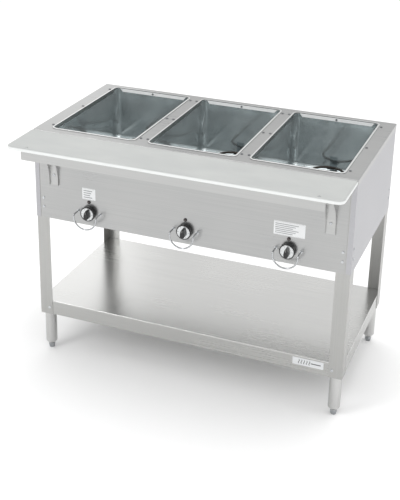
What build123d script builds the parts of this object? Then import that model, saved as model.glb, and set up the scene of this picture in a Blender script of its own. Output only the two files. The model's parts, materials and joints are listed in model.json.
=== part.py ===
"""Electric steam table unit: three heated wells on an open base, with a carving board along the front.

Millimetres, +Z up.  X runs left to right as the user stands at the controls, Y runs from the user to the
back, and the origin is on the floor, in the middle of the whole unit.
"""
from build123d import *
import os

os.makedirs("parts", exist_ok=True)

# ---------------------------------------------------------------- wells: sized for a full-size food pan
well_count = 3
well_width = 303.0          # opening, left to right
well_length = 503.0         # opening, front to back
well_depth = 203.0          # rim to the liner's floor
well_corner = 15.0          # corner radius of the opening
divider = 52.6              # flat of the top between two openings
end_border = 56.4           # flat between an end opening and the side of the body
front_border = 37.0
rear_border = 30.0

# ---------------------------------------------------------------- heights above the floor
top_height = 864.0          # rims, and the face of the carving board
controls_room = 122.0       # from the liners' floor to the lower edge of the body panels
shelf_height = 208.0
leg_height = 152.0          # lower end of the corner uprights
foot_exposed = 20.0

# ---------------------------------------------------------------- sheet metal
skin = 1.2                  # top, panels and undershelf
frame_gauge = 1.5           # corner uprights
liner_gauge = 1.0
rim_rise = 2.0              # raised rim round each opening
rim_width = 6.0
top_apron = 18.0            # turned-down edge of the top
tab_drop = 15.0             # turned-down tabs inside each opening
tab_taper = 11.0
tab_screw_share = 0.6       # of a tab's drop
upright_flange = 48.0
seam_inset = 21.0           # front and back panels end this far in from the sides
seam_gap = 3.0
shelf_lip = 54.0
shelf_hem = 14.0
pan_flange = 15.0
pan_lift = 2.0              # bottom pan above the panels' lower edge
top_corner = 2.4            # corner folds of the top
top_fold = 1.8
panel_corner = 2.0
post_fold = 1.3
side_fold = 1.1
shelf_fold = 1.6
rim_round = 0.8 * rim_rise
over = 1.0                  # cuts run this far past a face

# ---------------------------------------------------------------- liner and what surrounds it
liner_clearance = 3.0       # liner wall outside the opening
liner_flange = 14.0
flange_corner = 6.0
liner_corner = 22.0
liner_floor_radius = 16.0
batt_gap = 1.5
batt_inset = 20.0           # front and rear batts, from the ends of a well
batt_setback = 30.0         # floor batt, behind the controls
floor_batt = 24.0
batt_start = 52.0           # side batts start this far above the liner's floor
rail_clearance = 4.3        # rail to the liners' walls
rail_depth = 20.0

# ---------------------------------------------------------------- heating element
element_radius = 4.0
element_rise = 24.0         # centre line above the liner's floor
element_half_width = 62.0
element_back_gap = 34.0     # rear bend to the liner's rear wall
element_tail = 16.0         # terminals stand this far out of the liner's front wall
element_fit = 0.05
clip_width = 26.0
clip_height = 38.0
clip_gauge = 2.0
saddle_size = (9.0, 1.2, 7.0)   # half width of the foot, half thickness of the web, half length

# ---------------------------------------------------------------- controls
knob_height = 48.0          # knob axis above the lower edge of the front panel
knob_radius = 26.0
knob_depth = 16.0
knob_gap = 1.2              # back of the knob to the panel
dial_radius = 22.8
dial_gauge = 1.4
dial_sunk = 0.2             # dial's face below the skirt's rim
dial_fit = 0.05
dial_margin = 0.1           # dial's cut-out round the grip
skirt_round = 1.2
pointer_round = 1.8
pointer_half_width = 8.0
pointer_length = 34.0
pointer_rise = 13.0
pointer_flank = 1.6         # flank's radius in pointer lengths
pointer_lean = 20           # degrees that a flank turns before its nose
tip_margin = 1.6            # a margin, measured along the nose
shaft_radius = 3.0
shaft_fit = 0.06
shaft_in_switch = 20.0
shaft_in_knob = 12.0
bushing_radius = 4.6
bushing_proud = 1.0
hole_clearance = 0.3
switch_width = 44.0
switch_tall = 46.0
switch_deep = 38.0
switch_corner = 3.0
blade_size = (6.4, 0.8, 8.0)    # width, thickness, length
blade_spread = 12.0
pilot_rise = 39.0           # pilot light above the knob axis
pilot_radius = 6.0
pilot_proud = 3.0
pilot_barrel = 4.8
pilot_deep = 26.0
pilot_round = 1.2
guard_wire = 2.5
guard_radius = 42.0
guard_reach = 35.0          # guard's loop in front of the panel
guard_straight = 5.0
guard_bend = 8.0
guard_stud = 9.0
guard_collar = 5.0
collar_gauge = 1.6
nut_flat = 4.6
nut_height = 4.0

# ---------------------------------------------------------------- carving board and what carries it
board_width = 178.0         # front to back
board_thickness = 13.0
board_gap = 5.0
board_corner = 25.0
board_round = 5.0
pin_radius = 4.0
pin_clearance = 0.35
pin_sunk = 1.0              # pin below the board's face
pin_inset_side = 76.5       # from the board's ends
pin_inset_front = 12.0
channel_setback = 6.0
channel_end = 55.0          # channel stops this far from the board's ends
channel_face = 30.0
channel_top = 56.0
channel_corner = 4.0
bracket_inset = 76.0        # bracket centre from the sides
bracket_width = 34.0
bracket_height = 182.0      # board's underside to the bracket's lower end
bracket_nose = 14.0
bracket_toe = 8.0
bracket_reach = 150.0       # cheeks' tips in front of the panel
bracket_waist = (34.0, 76.0)   # a point on the cheeks' curved edge: depth, drop below the board
bracket_screw_shares = (0.3, 0.8)   # of the bracket's height, down from the board

# ---------------------------------------------------------------- legs and feet
leg_radius = 20.65
leg_wall = 1.25
leg_from_side = 7.35        # leg's surface to the sides of the body
leg_slack = 0.5             # hole in the shelf's hem round a leg
leg_mouth = 13.0
socket_plate = 78.0
socket_gauge = 3.0
socket_boss = 40.0
foot_radius = 12.0
foot_toe = 9.6
foot_edge = 1.0
foot_gap = 1.0
stem_radius = 6.0
stem_fit = 0.08
stem_length = 58.0
insert_gap = 0.6            # above the drawn-in end of the leg
insert_length = 26.0

# ---------------------------------------------------------------- fasteners, labels, supply
head_radius = 4.6
head_height = 2.4
shank_radius = 2.1
shank_length = 9.0
tab_head_radius = 3.7
low_head_height = 1.8
head_round = 0.45           # of a head's height
slot_width = 0.9
slot_share = 1.3            # cross slot's length in head radii
screw_slack = 0.1           # radial room in a screw hole
screw_from_corner = 30.0    # outer top screws from the ends of a well
screw_edge = 14.0           # top screws outside an opening's edge
bolt_head_radius = 5.2
bolt_radius = 3.0
bolt_tail = 1.8             # bolt beyond the sheets it holds
panel_screw_inset = 31.0
panel_screw_heights = (41.0, 74.0)
side_screw_inset = 21.0
side_screw_heights = (48.0, 82.0)
bolt_inset = 38.5
plate_size = (104.0, 48.0)
notice_size = (50.0, 42.0)
label_gauge = 0.4
label_corner = 2.0
label_gap = 9.0             # above a pilot light
badge_size = (106.0, 27.0)
badge_inset = 120.0
badge_drop = 7.5            # below the shelf's face
badge_gauge = 1.0
block_size = (64.0, 34.0, 24.0)
pole_pitch = 18.8
pole_radius = 3.4
pole_depth = 8.0
gland_radius = 12.0
gland_neck = 9.0            # threaded part, through the bottom pan
gland_bore = 6.5
gland_nut = 5.0
gland_drop = 8.0
gland_rise = 16.0
gland_inset = 60.0          # from the back
gland_side_inset = 150.0
block_from_gland = 90.0
wire_radius = 4.5
lead_radius = 2.2
wire_gap = 1.0
trunk_back = 30.0           # trunk behind the switches

# ---------------------------------------------------------------- worked out from the above
body_width = well_count * well_width + (well_count - 1) * divider + 2 * end_border
body_depth = front_border + well_length + rear_border
well_pitch = well_width + divider
rail_width = divider - 2 * (liner_clearance + liner_gauge + rail_clearance)
well_centres = [(i - (well_count - 1) / 2) * well_pitch for i in range(well_count)]
sides = ("left", "middle", "right")
back_heads = head_height - skin
front = -(board_width + board_gap + body_depth + back_heads) / 2 + board_width + board_gap
back = front + body_depth
half = body_width / 2
top_flat = top_height - rim_rise
top_under = top_flat - skin
body_bottom = top_height - well_depth - controls_room
pan_z = body_bottom + pan_lift
tab_screw_z = top_height - tab_drop * tab_screw_share
screw_hole = shank_radius + screw_slack
bolt_hole = bolt_radius + screw_slack
well_y = front + front_border + well_length / 2
panel_front = front + skin
panel_back = back - skin
panel_half = half - skin
frame_front = panel_front + skin
frame_back = panel_back - skin
frame_half = panel_half - skin
inner_front = frame_front + frame_gauge
inner_back = frame_back - frame_gauge
inner_half = frame_half - frame_gauge
liner_half_x = well_width / 2 + liner_clearance
liner_half_y = well_length / 2 + liner_clearance
liner_floor = top_height - well_depth
knob_z = body_bottom + knob_height
knob_back = panel_front - knob_gap
knob_face = knob_back - knob_depth
board_front = front - board_gap - board_width
board_back = front - board_gap
board_under = top_height - board_thickness
channel_front = board_front + channel_setback
leg_inset = leg_from_side + leg_radius
leg_bottom = foot_exposed + foot_gap
leg_shoulder = leg_bottom + leg_radius - leg_mouth
leg_straight = leg_shoulder + 3 * leg_wall
leg_top = shelf_height - skin - socket_gauge
leg_inner = leg_radius - leg_wall
leg_spots = {
    "front_left": (-(half - leg_inset), front + leg_inset),
    "front_right": (half - leg_inset, front + leg_inset),
    "rear_left": (-(half - leg_inset), back - leg_inset),
    "rear_right": (half - leg_inset, back - leg_inset),
}
gland_x = half - gland_side_inset
gland_y = back - gland_inset
block_x = gland_x - block_from_gland


# ---------------------------------------------------------------- helpers
def block(x0, x1, y0, y1, z0, z1):
    """A box given by its limits."""
    return Pos((x0 + x1) / 2, (y0 + y1) / 2, (z0 + z1) / 2) * Box(x1 - x0, y1 - y0, z1 - z0)


def rod_z(x, y, z0, z1, radius):
    return Pos(x, y, (z0 + z1) / 2) * Cylinder(radius, z1 - z0)


def rod_y(x, z, y0, y1, radius):
    return Pos(x, (y0 + y1) / 2, z) * Rot(90, 0, 0) * Cylinder(radius, y1 - y0)


def rod_x(y, z, x0, x1, radius):
    return Pos((x0 + x1) / 2, y, z) * Rot(0, 90, 0) * Cylinder(radius, x1 - x0)


def rounded_block(x0, x1, y0, y1, z0, z1, radius):
    """A box with rounded upright corners."""
    outline = RectangleRounded(x1 - x0, y1 - y0, radius)
    return Pos((x0 + x1) / 2, (y0 + y1) / 2, z0) * extrude(outline, z1 - z0)


def side_profile(points, x0, x1):
    """An outline of (y, z) points carried from x0 to x1."""
    outline = Plane.YZ * make_face(Polyline(*points, close=True))
    return Pos(x0, 0, 0) * extrude(outline, x1 - x0)


def front_profile(points, y0, y1):
    """An outline of (x, z) points carried from y0 to y1."""
    outline = Plane.XZ * make_face(Polyline(*points, close=True))
    return Pos(0, y0, 0) * extrude(outline, -(y1 - y0))


def turned(points, x, y, z=0):
    """A (radius, z) outline turned round an upright axis."""
    outline = Plane.XZ * make_face(Polyline(*points, close=True))
    return Pos(x, y, z) * revolve(outline, Axis.Z)


def screw_out(head_r, head_h, shank_r, shank_l):
    """A pan-head screw on the Z axis: underside of the head at z = 0, head above it, shank below."""
    head = Pos(0, 0, head_h / 2) * Cylinder(head_r, head_h)
    head = fillet(head.edges().group_by(Axis.Z)[-1], head_h * head_round)
    head -= Pos(0, 0, head_h) * Box(head_r * slot_share, slot_width, slot_width)
    head -= Pos(0, 0, head_h) * Box(slot_width, head_r * slot_share, slot_width)
    return head + Pos(0, 0, -shank_l / 2) * Cylinder(shank_r, shank_l)


def facing(x, y, z, direction):
    """Where a screw's head looks: the four sides of the body, or up."""
    turns = {"front": (90, 0, 0), "back": (-90, 0, 0), "left": (0, -90, 0), "right": (0, 90, 0)}
    return Pos(x, y, z) * Rot(*turns.get(direction, (0, 0, 0)))


def save(name, *solids):
    shape = solids[0] if len(solids) == 1 else Compound(children=list(solids))
    export_step(shape, f"parts/{name}.step")


# ---------------------------------------------------------------- places that several pieces share
def panel_screw_spots():
    """(x, y, z, direction) of every screw that holds a body panel to an upright."""
    spots = []
    for sx in (-1, 1):
        for rise in panel_screw_heights:
            spots.append((sx * (half - panel_screw_inset), panel_front, body_bottom + rise, "front"))
            spots.append((sx * (half - panel_screw_inset), panel_back, body_bottom + rise, "back"))
        for rise in side_screw_heights:
            side = "left" if sx < 0 else "right"
            for y in (front + side_screw_inset, back - side_screw_inset):
                spots.append((sx * panel_half, y, body_bottom + rise, side))
    return spots


def shelf_bolt_spots():
    z = (shelf_height + leg_height) / 2
    return [(sx * (half - bolt_inset), y, z, side)
            for sx in (-1, 1) for y, side in ((frame_front, "front"), (frame_back, "back"))]


def top_screw_spots():
    """(x, y) of the screws that hold the liners under the top."""
    off_x = well_width / 2 + screw_edge
    off_y = well_length / 2 - screw_from_corner
    return [(cx + sx * off_x, well_y + sy * off_y)
            for cx in well_centres for sx in (-1, 1) for sy in (-1, 0, 1)]


def guard_ends():
    return [(cx + sx * guard_radius, knob_z) for cx in well_centres for sx in (-1, 1)]


def holes(spots, radius, reach=20.0):
    """Clearance holes along the screws at the given spots."""
    return [facing(x, y, z, side) * Cylinder(radius, reach) for x, y, z, side in spots]


def panel_hole(x, z, radius):
    """A round hole through the front panel."""
    return rod_y(x, z, panel_front - over, frame_front + over, radius)


# ---------------------------------------------------------------- sheet-metal body
def top_sheet():
    outer = block(-half, half, front, back, top_flat - top_apron, top_flat)
    outer = fillet(outer.edges().filter_by(Axis.Z), top_corner)
    outer = fillet(outer.edges().group_by(Axis.Z)[-1], top_fold)
    sheet = outer - block(-panel_half, panel_half, panel_front, panel_back, top_flat - top_apron, top_under)
    for cx in well_centres:
        x0, x1 = cx - well_width / 2, cx + well_width / 2
        y0, y1 = well_y - well_length / 2, well_y + well_length / 2
        rim = rounded_block(x0 - rim_width, x1 + rim_width, y0 - rim_width, y1 + rim_width,
                            top_under, top_height, well_corner + rim_width)
        rim = fillet(rim.edges().group_by(Axis.Z)[-1], rim_round)
        sheet += rim
        sheet -= rounded_block(x0, x1, y0, y1, top_under - over, top_height + over, well_corner)
        z1, z0 = top_height - rim_round, top_height - tab_drop
        for y in (y0 - skin, y1):
            straight = well_width / 2 - well_corner
            points = [(cx - straight, z1), (cx + straight, z1), (cx + straight - tab_taper, z0),
                      (cx - straight + tab_taper, z0)]
            sheet += front_profile(points, y, y + skin)
        for x in (x0 - skin, x1):
            straight = well_length / 2 - well_corner
            points = [(well_y - straight, z1), (well_y + straight, z1), (well_y + straight - tab_taper, z0),
                      (well_y - straight + tab_taper, z0)]
            sheet += side_profile(points, x, x + skin)
        sheet -= rod_y(cx, tab_screw_z, y1 - over, y1 + skin + over, screw_hole)
    for x, y in top_screw_spots():
        sheet -= rod_z(x, y, top_under - over, top_flat + over, screw_hole)
    return sheet


def front_panel():
    edge = half - seam_inset
    panel = block(-edge, edge, panel_front, frame_front, body_bottom, top_under)
    panel = fillet(panel.edges().filter_by(Axis.Y).group_by(Axis.Z)[0], panel_corner)
    for cx in well_centres:
        panel -= panel_hole(cx, knob_z, bushing_radius + hole_clearance)
        panel -= panel_hole(cx, knob_z + pilot_rise, pilot_barrel + hole_clearance)
    for x, z in guard_ends():
        panel -= panel_hole(x, z, guard_wire + hole_clearance)
    for hole in holes([s for s in panel_screw_spots() if s[3] == "front"], screw_hole):
        panel -= hole
    for hole in holes(bracket_screw_spots(), screw_hole):
        panel -= hole
    return panel


def back_panel():
    edge = half - seam_inset
    panel = block(-edge, edge, frame_back, panel_back, body_bottom, top_under)
    panel = fillet(panel.edges().filter_by(Axis.Y).group_by(Axis.Z)[0], panel_corner)
    for hole in holes([s for s in panel_screw_spots() if s[3] == "back"], screw_hole):
        panel -= hole
    return panel


def end_panel(sx):
    """A side of the body, folded round the front and back corners as far as the seams."""
    flange = half - seam_inset + seam_gap
    x0, x1 = sorted((sx * panel_half, sx * frame_half))
    panel = block(x0, x1, panel_front, panel_back, body_bottom, top_under)
    for y0, y1 in ((panel_front, frame_front), (frame_back, panel_back)):
        x0, x1 = sorted((sx * flange, sx * panel_half))
        panel += block(x0, x1, y0, y1, body_bottom, top_under)
    outer_edges = panel.edges().filter_by(Axis.Z).group_by(Axis.X)[-1 if sx > 0 else 0]
    panel = fillet(outer_edges, side_fold)
    side = "left" if sx < 0 else "right"
    for hole in holes([s for s in panel_screw_spots() if s[3] == side], screw_hole):
        panel -= hole
    return panel


def bottom_pan():
    """Closes the body underneath: a shallow tray between the uprights."""
    z0 = pan_z
    pan = block(-inner_half, inner_half, inner_front, inner_back, z0, z0 + pan_flange)
    pan -= block(-inner_half + skin, inner_half - skin, inner_front + skin, inner_back - skin,
                 z0 + skin, z0 + pan_flange)
    pan -= rod_z(gland_x, gland_y, z0 - over, z0 + skin + over, gland_neck)
    return pan


def upright(sx, at_front):
    """A corner post of folded angle."""
    y_out = frame_front if at_front else frame_back
    sy = 1 if at_front else -1
    x_out = sx * frame_half
    xa, xb = sorted((x_out, x_out - sx * upright_flange))
    ya, yb = sorted((y_out, y_out + sy * frame_gauge))
    post = block(xa, xb, ya, yb, leg_height, top_under)
    xa, xb = sorted((x_out, x_out - sx * frame_gauge))
    ya, yb = sorted((y_out, y_out + sy * upright_flange))
    post += block(xa, xb, ya, yb, leg_height, top_under)
    outermost = post.edges().filter_by(Axis.Z).group_by(Axis.X)[-1 if sx > 0 else 0]
    corner = outermost.sort_by(Axis.Y)[0 if at_front else -1]
    post = fillet(corner, post_fold)
    for hole in holes(panel_screw_spots(), screw_hole) + holes(shelf_bolt_spots(), bolt_hole):
        post -= hole
    return post


def undershelf():
    """Flat shelf with a deep lip and a hem, bolted inside the uprights."""
    z0 = shelf_height - shelf_lip
    shelf = block(-inner_half, inner_half, inner_front, inner_back, z0, shelf_height)
    shelf = fillet(shelf.edges().group_by(Axis.Z)[-1], shelf_fold)
    shelf -= block(-inner_half + skin, inner_half - skin, inner_front + skin, inner_back - skin,
                   z0 + skin, shelf_height - skin)
    shelf -= block(-inner_half + shelf_hem, inner_half - shelf_hem, inner_front + shelf_hem,
                   inner_back - shelf_hem, z0 - over, z0 + skin + over)
    for x, y in leg_spots.values():
        shelf -= rod_z(x, y, z0 - over, z0 + skin + over, leg_radius + leg_slack)
    for hole in holes(shelf_bolt_spots(), bolt_hole):
        shelf -= hole
    return shelf


def cross_rail(x):
    """Inverted channel under the flat between two wells."""
    z1 = top_under - liner_gauge
    rail = block(x - rail_width / 2, x + rail_width / 2, inner_front, inner_back, z1 - rail_depth, z1)
    rail -= block(x - rail_width / 2 + frame_gauge, x + rail_width / 2 - frame_gauge, inner_front - over,
                  inner_back + over, z1 - rail_depth - over, z1 - frame_gauge)
    for sx, sy in top_screw_spots():
        if abs(sx - x) < rail_width / 2:
            rail -= rod_z(sx, sy, z1 - frame_gauge - over, z1 + over, screw_hole)
    return rail


# ---------------------------------------------------------------- wells
def well_liner(cx):
    """A drawn pan with a flat flange that is screwed under the top."""
    x0, x1 = cx - liner_half_x, cx + liner_half_x
    y0, y1 = well_y - liner_half_y, well_y + liner_half_y
    t = liner_gauge
    body = rounded_block(x0 - t, x1 + t, y0 - t, y1 + t, liner_floor - t, top_under, liner_corner + t)
    body = fillet(body.edges().group_by(Axis.Z)[0], liner_floor_radius + t)
    cavity = rounded_block(x0, x1, y0, y1, liner_floor, top_under + over, liner_corner)
    cavity = fillet(cavity.edges().group_by(Axis.Z)[0], liner_floor_radius)
    flange = rounded_block(x0 - liner_flange, x1 + liner_flange, y0 - liner_flange, y1 + liner_flange,
                           top_under - t, top_under, flange_corner)
    liner = body + flange - cavity
    for sx in (-1, 1):
        liner -= rod_y(cx + sx * element_half_width, liner_floor + element_rise, y0 - t - over, y0 + over,
                       element_radius + element_fit)
    for x, y in top_screw_spots():
        liner -= rod_z(x, y, top_under - t - over, top_under + over, screw_hole)
    liner -= rod_y(cx, tab_screw_z, y1 - over, y1 + t + over, screw_hole)
    return liner


def heating_element(cx):
    """A bent tubular element, its two ends through the liner's front wall."""
    z = liner_floor + element_rise
    y0 = well_y - liner_half_y - liner_gauge - element_tail
    y1 = well_y + liner_half_y - element_back_gap - element_half_width
    w = element_half_width
    path = Wire([
        Edge.make_line((cx - w, y0, z), (cx - w, y1, z)),
        Edge.make_three_point_arc((cx - w, y1, z), (cx, y1 + w, z), (cx + w, y1, z)),
        Edge.make_line((cx + w, y1, z), (cx + w, y0, z)),
    ])
    start = Plane(origin=(cx - w, y0, z), z_dir=(0, 1, 0))
    return sweep(start * Circle(element_radius), path=path)


def element_brackets(cx):
    """A wall clip under the rear bend and a saddle under each leg of one element."""
    z = liner_floor + element_rise - element_radius
    y1 = well_y + liner_half_y
    clip = block(cx - clip_width / 2, cx + clip_width / 2, y1 - clip_gauge, y1,
                 liner_floor + liner_floor_radius, liner_floor + liner_floor_radius + clip_height)
    clip += block(cx - clip_width / 2, cx + clip_width / 2, y1 - element_back_gap - 2 * element_radius,
                  y1 - clip_gauge, z - clip_gauge, z)
    pieces = [clip]
    for sx in (-1, 1):
        x = cx + sx * element_half_width
        foot_half, web_half, along = saddle_size
        saddle = block(x - foot_half, x + foot_half, well_y - along, well_y + along,
                       liner_floor, liner_floor + clip_gauge)
        saddle += block(x - web_half, x + web_half, well_y - along, well_y + along, liner_floor, z)
        pieces.append(saddle)
    return pieces


def insulation():
    """Glass-fibre batts under and round the liners."""
    g = batt_gap
    z0 = liner_floor + batt_start
    z1 = top_under - liner_gauge - rail_depth - g
    out_x = liner_half_x + liner_gauge + g
    out_y = liner_half_y + liner_gauge + g
    past_screws = shank_length + g
    floor_top = liner_floor - liner_gauge - batt_gap / 3
    batts = []
    for cx in well_centres:
        x0, x1 = cx - well_width / 2, cx + well_width / 2
        batts.append(block(x0, x1, well_y - well_length / 2 + batt_setback, well_y + well_length / 2,
                           floor_top - floor_batt, floor_top))
        x0, x1 = x0 + batt_inset, x1 - batt_inset
        batts.append(block(x0, x1, panel_front + past_screws, well_y - out_y, z0, z1))
        batts.append(block(x0, x1, well_y + out_y, panel_back - past_screws, z0, z1))
    y0 = frame_front + upright_flange + g
    y1 = frame_back - upright_flange - g
    end = well_centres[-1] + out_x
    batts.append(block(-inner_half + g, -end, y0, y1, z0, z1))
    batts.append(block(end, inner_half - g, y0, y1, z0, z1))
    for i in range(well_count - 1):
        batts.append(block(well_centres[i] + out_x, well_centres[i + 1] - out_x, y0, y1, z0, z1))
    return batts


# ---------------------------------------------------------------- controls
def infinite_switch(cx):
    y0, y1 = frame_front, frame_front + switch_deep
    body = block(cx - switch_width / 2, cx + switch_width / 2, y0, y1, knob_z - switch_tall / 2,
                 knob_z + switch_tall / 2)
    body = fillet(body.edges().filter_by(Axis.Y), switch_corner)
    body += rod_y(cx, knob_z, panel_front - bushing_proud, y0, bushing_radius)
    wide, thick, long = blade_size
    for sx in (-1, 1):
        for sz in (-1, 1):
            x, z = cx + sx * blade_spread, knob_z + sz * blade_spread
            body += block(x - wide / 2, x + wide / 2, y1, y1 + long, z - thick / 2, z + thick / 2)
    return body - rod_y(cx, knob_z, panel_front - bushing_proud - over, panel_front + shaft_in_switch + over,
                        shaft_radius + shaft_fit)


def switch_shaft(cx):
    return rod_y(cx, knob_z, knob_back - shaft_in_knob, panel_front + shaft_in_switch, shaft_radius)


def pointer_outline(cx, margin=0.0):
    """The grip's drop shape, seen from the front: a point at the top, round at the bottom."""
    r = pointer_half_width + margin
    low = knob_z - pointer_length / 2 + pointer_half_width
    tip = knob_z + pointer_length / 2 + margin * tip_margin
    bottom = ThreePointArc((cx - r, low), (cx, low - r), (cx + r, low))
    flank = pointer_length * pointer_flank
    flank_r = JernArc((cx + r, low), (0, 1), flank, pointer_lean)
    end = flank_r @ 1
    nose_r = Line(end, (cx, tip))
    nose_l = Line((cx, tip), (2 * cx - end.X, end.Y))
    flank_l = JernArc((cx - r, low), (0, 1), flank, -pointer_lean)
    return make_face(Wire([bottom, flank_r, nose_r, nose_l, flank_l]))


def knob(cx):
    """Moulded knob: a skirt, a recess for the dial and a drop-shaped grip."""
    body = rod_y(cx, knob_z, knob_face, knob_back, knob_radius)
    body = fillet(body.edges().group_by(Axis.Y)[0], skirt_round)
    body -= rod_y(cx, knob_z, knob_face - over, knob_face + dial_gauge, dial_radius)
    outline = Plane.XZ * pointer_outline(cx)
    grip = Pos(0, knob_face + dial_gauge, 0) * extrude(outline, pointer_rise + dial_gauge)
    grip = fillet(grip.edges().group_by(Axis.Y)[0], pointer_round)
    body += grip
    return body - rod_y(cx, knob_z, knob_back - shaft_in_knob, knob_back + over, shaft_radius)


def knob_dial(cx):
    """Bright dial plate let into the knob's face, cut out round the grip."""
    plate = rod_y(cx, knob_z, knob_face + dial_sunk, knob_face + dial_gauge, dial_radius - dial_fit)
    outline = Plane.XZ * pointer_outline(cx, dial_margin)
    cut = Pos(0, knob_face + dial_gauge + over, 0) * extrude(outline, dial_gauge + 2 * over)
    return plate - cut


def knob_guard(cx):
    """A bent wire loop round the lower half of a knob, its ends through the panel."""
    y0, y1 = panel_front + guard_stud, panel_front - guard_reach
    r, b, z = guard_radius, guard_bend, knob_z
    s = 2 ** -0.5

    def half_path(sx):
        x = cx + sx * r
        leg = Edge.make_line((x, y0, z), (x, y1 + b, z))
        middle = (x, y1 + b * (1 - s), z - b * (1 - s))
        bend = Edge.make_three_point_arc((x, y1 + b, z), middle, (x, y1, z - b))
        drop = Edge.make_line((x, y1, z - b), (x, y1, z - b - guard_straight))
        return leg, bend, drop

    left, right = half_path(-1), half_path(1)
    low = z - b - guard_straight
    sag = guard_radius - b + guard_straight / 2
    loop = Edge.make_three_point_arc((cx - r, y1, low), (cx, y1, low - sag), (cx + r, y1, low))
    path = Wire([*left, loop, *right])
    start = Plane(origin=(cx - r, y0, z), z_dir=(0, 1, 0))
    guard = sweep(start * Circle(guard_wire), path=path, transition=Transition.ROUND)
    for sx in (-1, 1):
        guard += rod_y(cx + sx * r, z, panel_front - collar_gauge, panel_front, guard_collar)
    return guard


def guard_nuts():
    nuts = []
    for x, z in guard_ends():
        nut = extrude(Plane.XZ * RegularPolygon(nut_flat, 6, major_radius=False), -nut_height)
        nuts.append(Pos(x, frame_front, z) * (nut - Rot(90, 0, 0) * Cylinder(guard_wire, 4 * nut_height)))
    return nuts


def pilot_light(cx):
    z = knob_z + pilot_rise
    bezel = rod_y(cx, z, panel_front - pilot_proud, panel_front, pilot_radius)
    bezel = fillet(bezel.edges().group_by(Axis.Y)[0], pilot_round)
    return bezel + rod_y(cx, z, panel_front, panel_front + pilot_deep, pilot_barrel)


# ---------------------------------------------------------------- carving board
def pin_spots():
    return [(sx * (half - pin_inset_side), board_front + pin_inset_front) for sx in (-1, 1)]


def carving_board():
    board = block(-half, half, board_front, board_back, board_under, top_height)
    uprights = board.edges().filter_by(Axis.Z).group_by(Axis.Y)
    board = fillet(uprights[0], board_corner)
    board = fillet(board.edges().filter_by(Axis.Z).group_by(Axis.Y)[-1], board_round)
    board = fillet(board.edges().group_by(Axis.Z)[-1], board_round)
    board = fillet(board.edges().group_by(Axis.Z)[0], board_round / 2)
    for x, y in pin_spots():
        board -= rod_z(x, y, board_under - over, top_height + over, pin_radius + pin_clearance)
    return board


def board_channel():
    """Angle under the board's front edge, carried by the two brackets."""
    x1 = half - channel_end
    face = block(-x1, x1, channel_front, channel_front + skin, board_under - channel_face, board_under)
    face = fillet(face.edges().filter_by(Axis.Y).group_by(Axis.Z)[0], channel_corner)
    return face + block(-x1, x1, channel_front, channel_front + channel_top, board_under - skin, board_under)


def board_pins():
    return [rod_z(x, y, board_under, top_height - pin_sunk, pin_radius) for x, y in pin_spots()]


def bracket_screw_spots():
    """Screws through a bracket's web into the front panel, one above the other."""
    y = panel_front - frame_gauge
    return [(sx * (half - bracket_inset), y, board_under - bracket_height * share, "front")
            for sx in (-1, 1) for share in bracket_screw_shares]


def board_bracket(sx):
    """Folded gusset: a web on the front panel, two curved cheeks and a ledge under the board."""
    cx = sx * (half - bracket_inset)
    z1, z0 = board_under - skin, board_under - bracket_height
    y1 = panel_front
    apron_z = top_flat - top_apron
    tip = (front - bracket_reach, z1 - bracket_nose)
    toe = (y1 - bracket_toe, z0)
    back_edges = Polyline(toe, (y1, z0), (y1, apron_z), (front, apron_z), (front, z1), (tip[0], z1), tip)
    depth, drop = bracket_waist
    curve = ThreePointArc(tip, (front - depth, board_under - drop), toe)
    outline = Plane.YZ * make_face(Wire([*back_edges.edges(), curve]))
    x0, x1 = cx - bracket_width / 2, cx + bracket_width / 2
    cheeks = [Pos(x, 0, 0) * extrude(outline, frame_gauge) for x in (x0, x1 - frame_gauge)]
    web = block(x0, x1, y1 - frame_gauge, y1, z0, apron_z)
    ledge = block(x0, x1, channel_front + channel_top, board_back, z1 - frame_gauge, board_under)
    gusset = web + cheeks[0] + cheeks[1] + ledge
    for hole in holes(bracket_screw_spots(), screw_hole):
        gusset -= hole
    return gusset


# ---------------------------------------------------------------- legs and feet
def leg(x, y):
    """Tube leg with its lower end drawn in."""
    a, w = leg_radius, leg_wall
    z0, z1 = leg_bottom, leg_top
    m, h = leg_mouth, w / 2
    points = [(a, z1), (a, leg_shoulder + 2 * w), (a - w, leg_shoulder), (m + w, z0 + w), (m + h, z0),
              (m - h, z0), (m - h, z0 + w), (m, z0 + 2 * w),
              (a - 2 * w, leg_shoulder + w), (a - w, leg_straight), (a - w, z1)]
    return turned(points, x, y)


def leg_socket(x, y):
    """Plate under the shelf with a boss that fills the top of a leg."""
    inward_x = -1 if x > 0 else 1
    inward_y = 1 if y < well_y else -1
    x_far = inward_x * (skin - inner_half)
    y_far = inner_front + skin if inward_y > 0 else inner_back - skin
    x0, x1 = sorted((x_far, x_far + inward_x * socket_plate))
    y0, y1 = sorted((y_far, y_far + inward_y * socket_plate))
    plate = block(x0, x1, y0, y1, leg_top, leg_top + socket_gauge)
    return plate + rod_z(x, y, leg_top - socket_boss, leg_top, leg_inner)


def foot_insert(x, y):
    z0 = leg_straight + insert_gap
    ring = rod_z(x, y, z0, z0 + insert_length, leg_inner)
    return ring - rod_z(x, y, z0 - over, z0 + insert_length + over, stem_radius + stem_fit)


def foot(x, y):
    """Bullet foot on a screwed stem."""
    r, t, e, c = foot_radius, foot_toe, foot_exposed, foot_edge
    points = [(0, 0), (t - 2 * c, 0), (t - c / 2, c / 2), (t, 2 * c), (r - c / 2, e * 0.55), (r, e * 0.7),
              (r, e - c), (r - c, e), (stem_radius, e), (stem_radius, e + stem_length), (0, e + stem_length)]
    return turned(points, x, y)


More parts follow.
